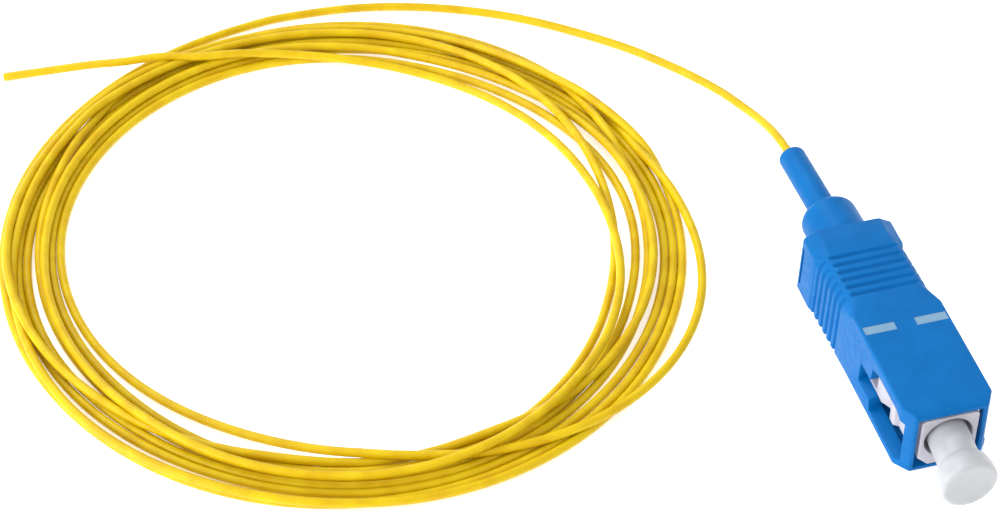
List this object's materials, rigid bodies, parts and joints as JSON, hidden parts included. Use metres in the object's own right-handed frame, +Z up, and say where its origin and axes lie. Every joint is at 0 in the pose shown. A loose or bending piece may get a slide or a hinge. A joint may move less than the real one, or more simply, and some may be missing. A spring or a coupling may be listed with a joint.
{
  "type": "fibre optic pigtail",
  "caption": "Push-pull fibre optic connector with latch windows, a slim boot and a dust cap, on a loose round coil of thin buffered fibre that ends in a bare cut end.",
  "frame": {"origin": "floor level, under the middle of the connector's box, taken without the fibre and its coil", "axes": "+Y along the connector from its mating end to its boot, +Z up, +X to the right seen from the mating end's side of the top face"},
  "size_m": [0.089, 0.0877, 0.0074],
  "materials": {
    "blue_plastic": "moulded, satin",
    "frame_plastic": "moulded, smooth",
    "cap_plastic": "natural, frosted",
    "ferrule_ceramic": "ground and polished",
    "spring_steel": "drawn wire",
    "fibre_jacket": "extruded, satin"
  },
  "bodies": {
    "plug": {"plug_frame": "frame_plastic", "rear_body": "frame_plastic", "boot": "blue_plastic", "fibre_lead": "fibre_jacket", "fibre_coil": "fibre_jacket", "fibre_tail": "fibre_jacket"},
    "grip": {"grip_housing": "blue_plastic"},
    "contact": {"ferrule": "ferrule_ceramic", "ferrule_spring": "spring_steel"},
    "cap": {"dust_cap": "cap_plastic"}
  },
  "joints": [
    {"name": "grip_slide", "type": "slide", "parent": "plug", "child": "grip", "axis": [0, 1, 0], "range_m": [0, 0.001]},
    {"name": "ferrule_retract", "type": "slide", "parent": "plug", "child": "contact", "axis": [0, 1, 0], "range_m": [0, 0.001], "stiffness_N_per_m": 300, "springref_m": -0.001},
    {"name": "cap_pull", "type": "slide", "parent": "contact", "child": "cap", "axis": [0, -1, 0], "range_m": [0, 0.009]}
  ]
}
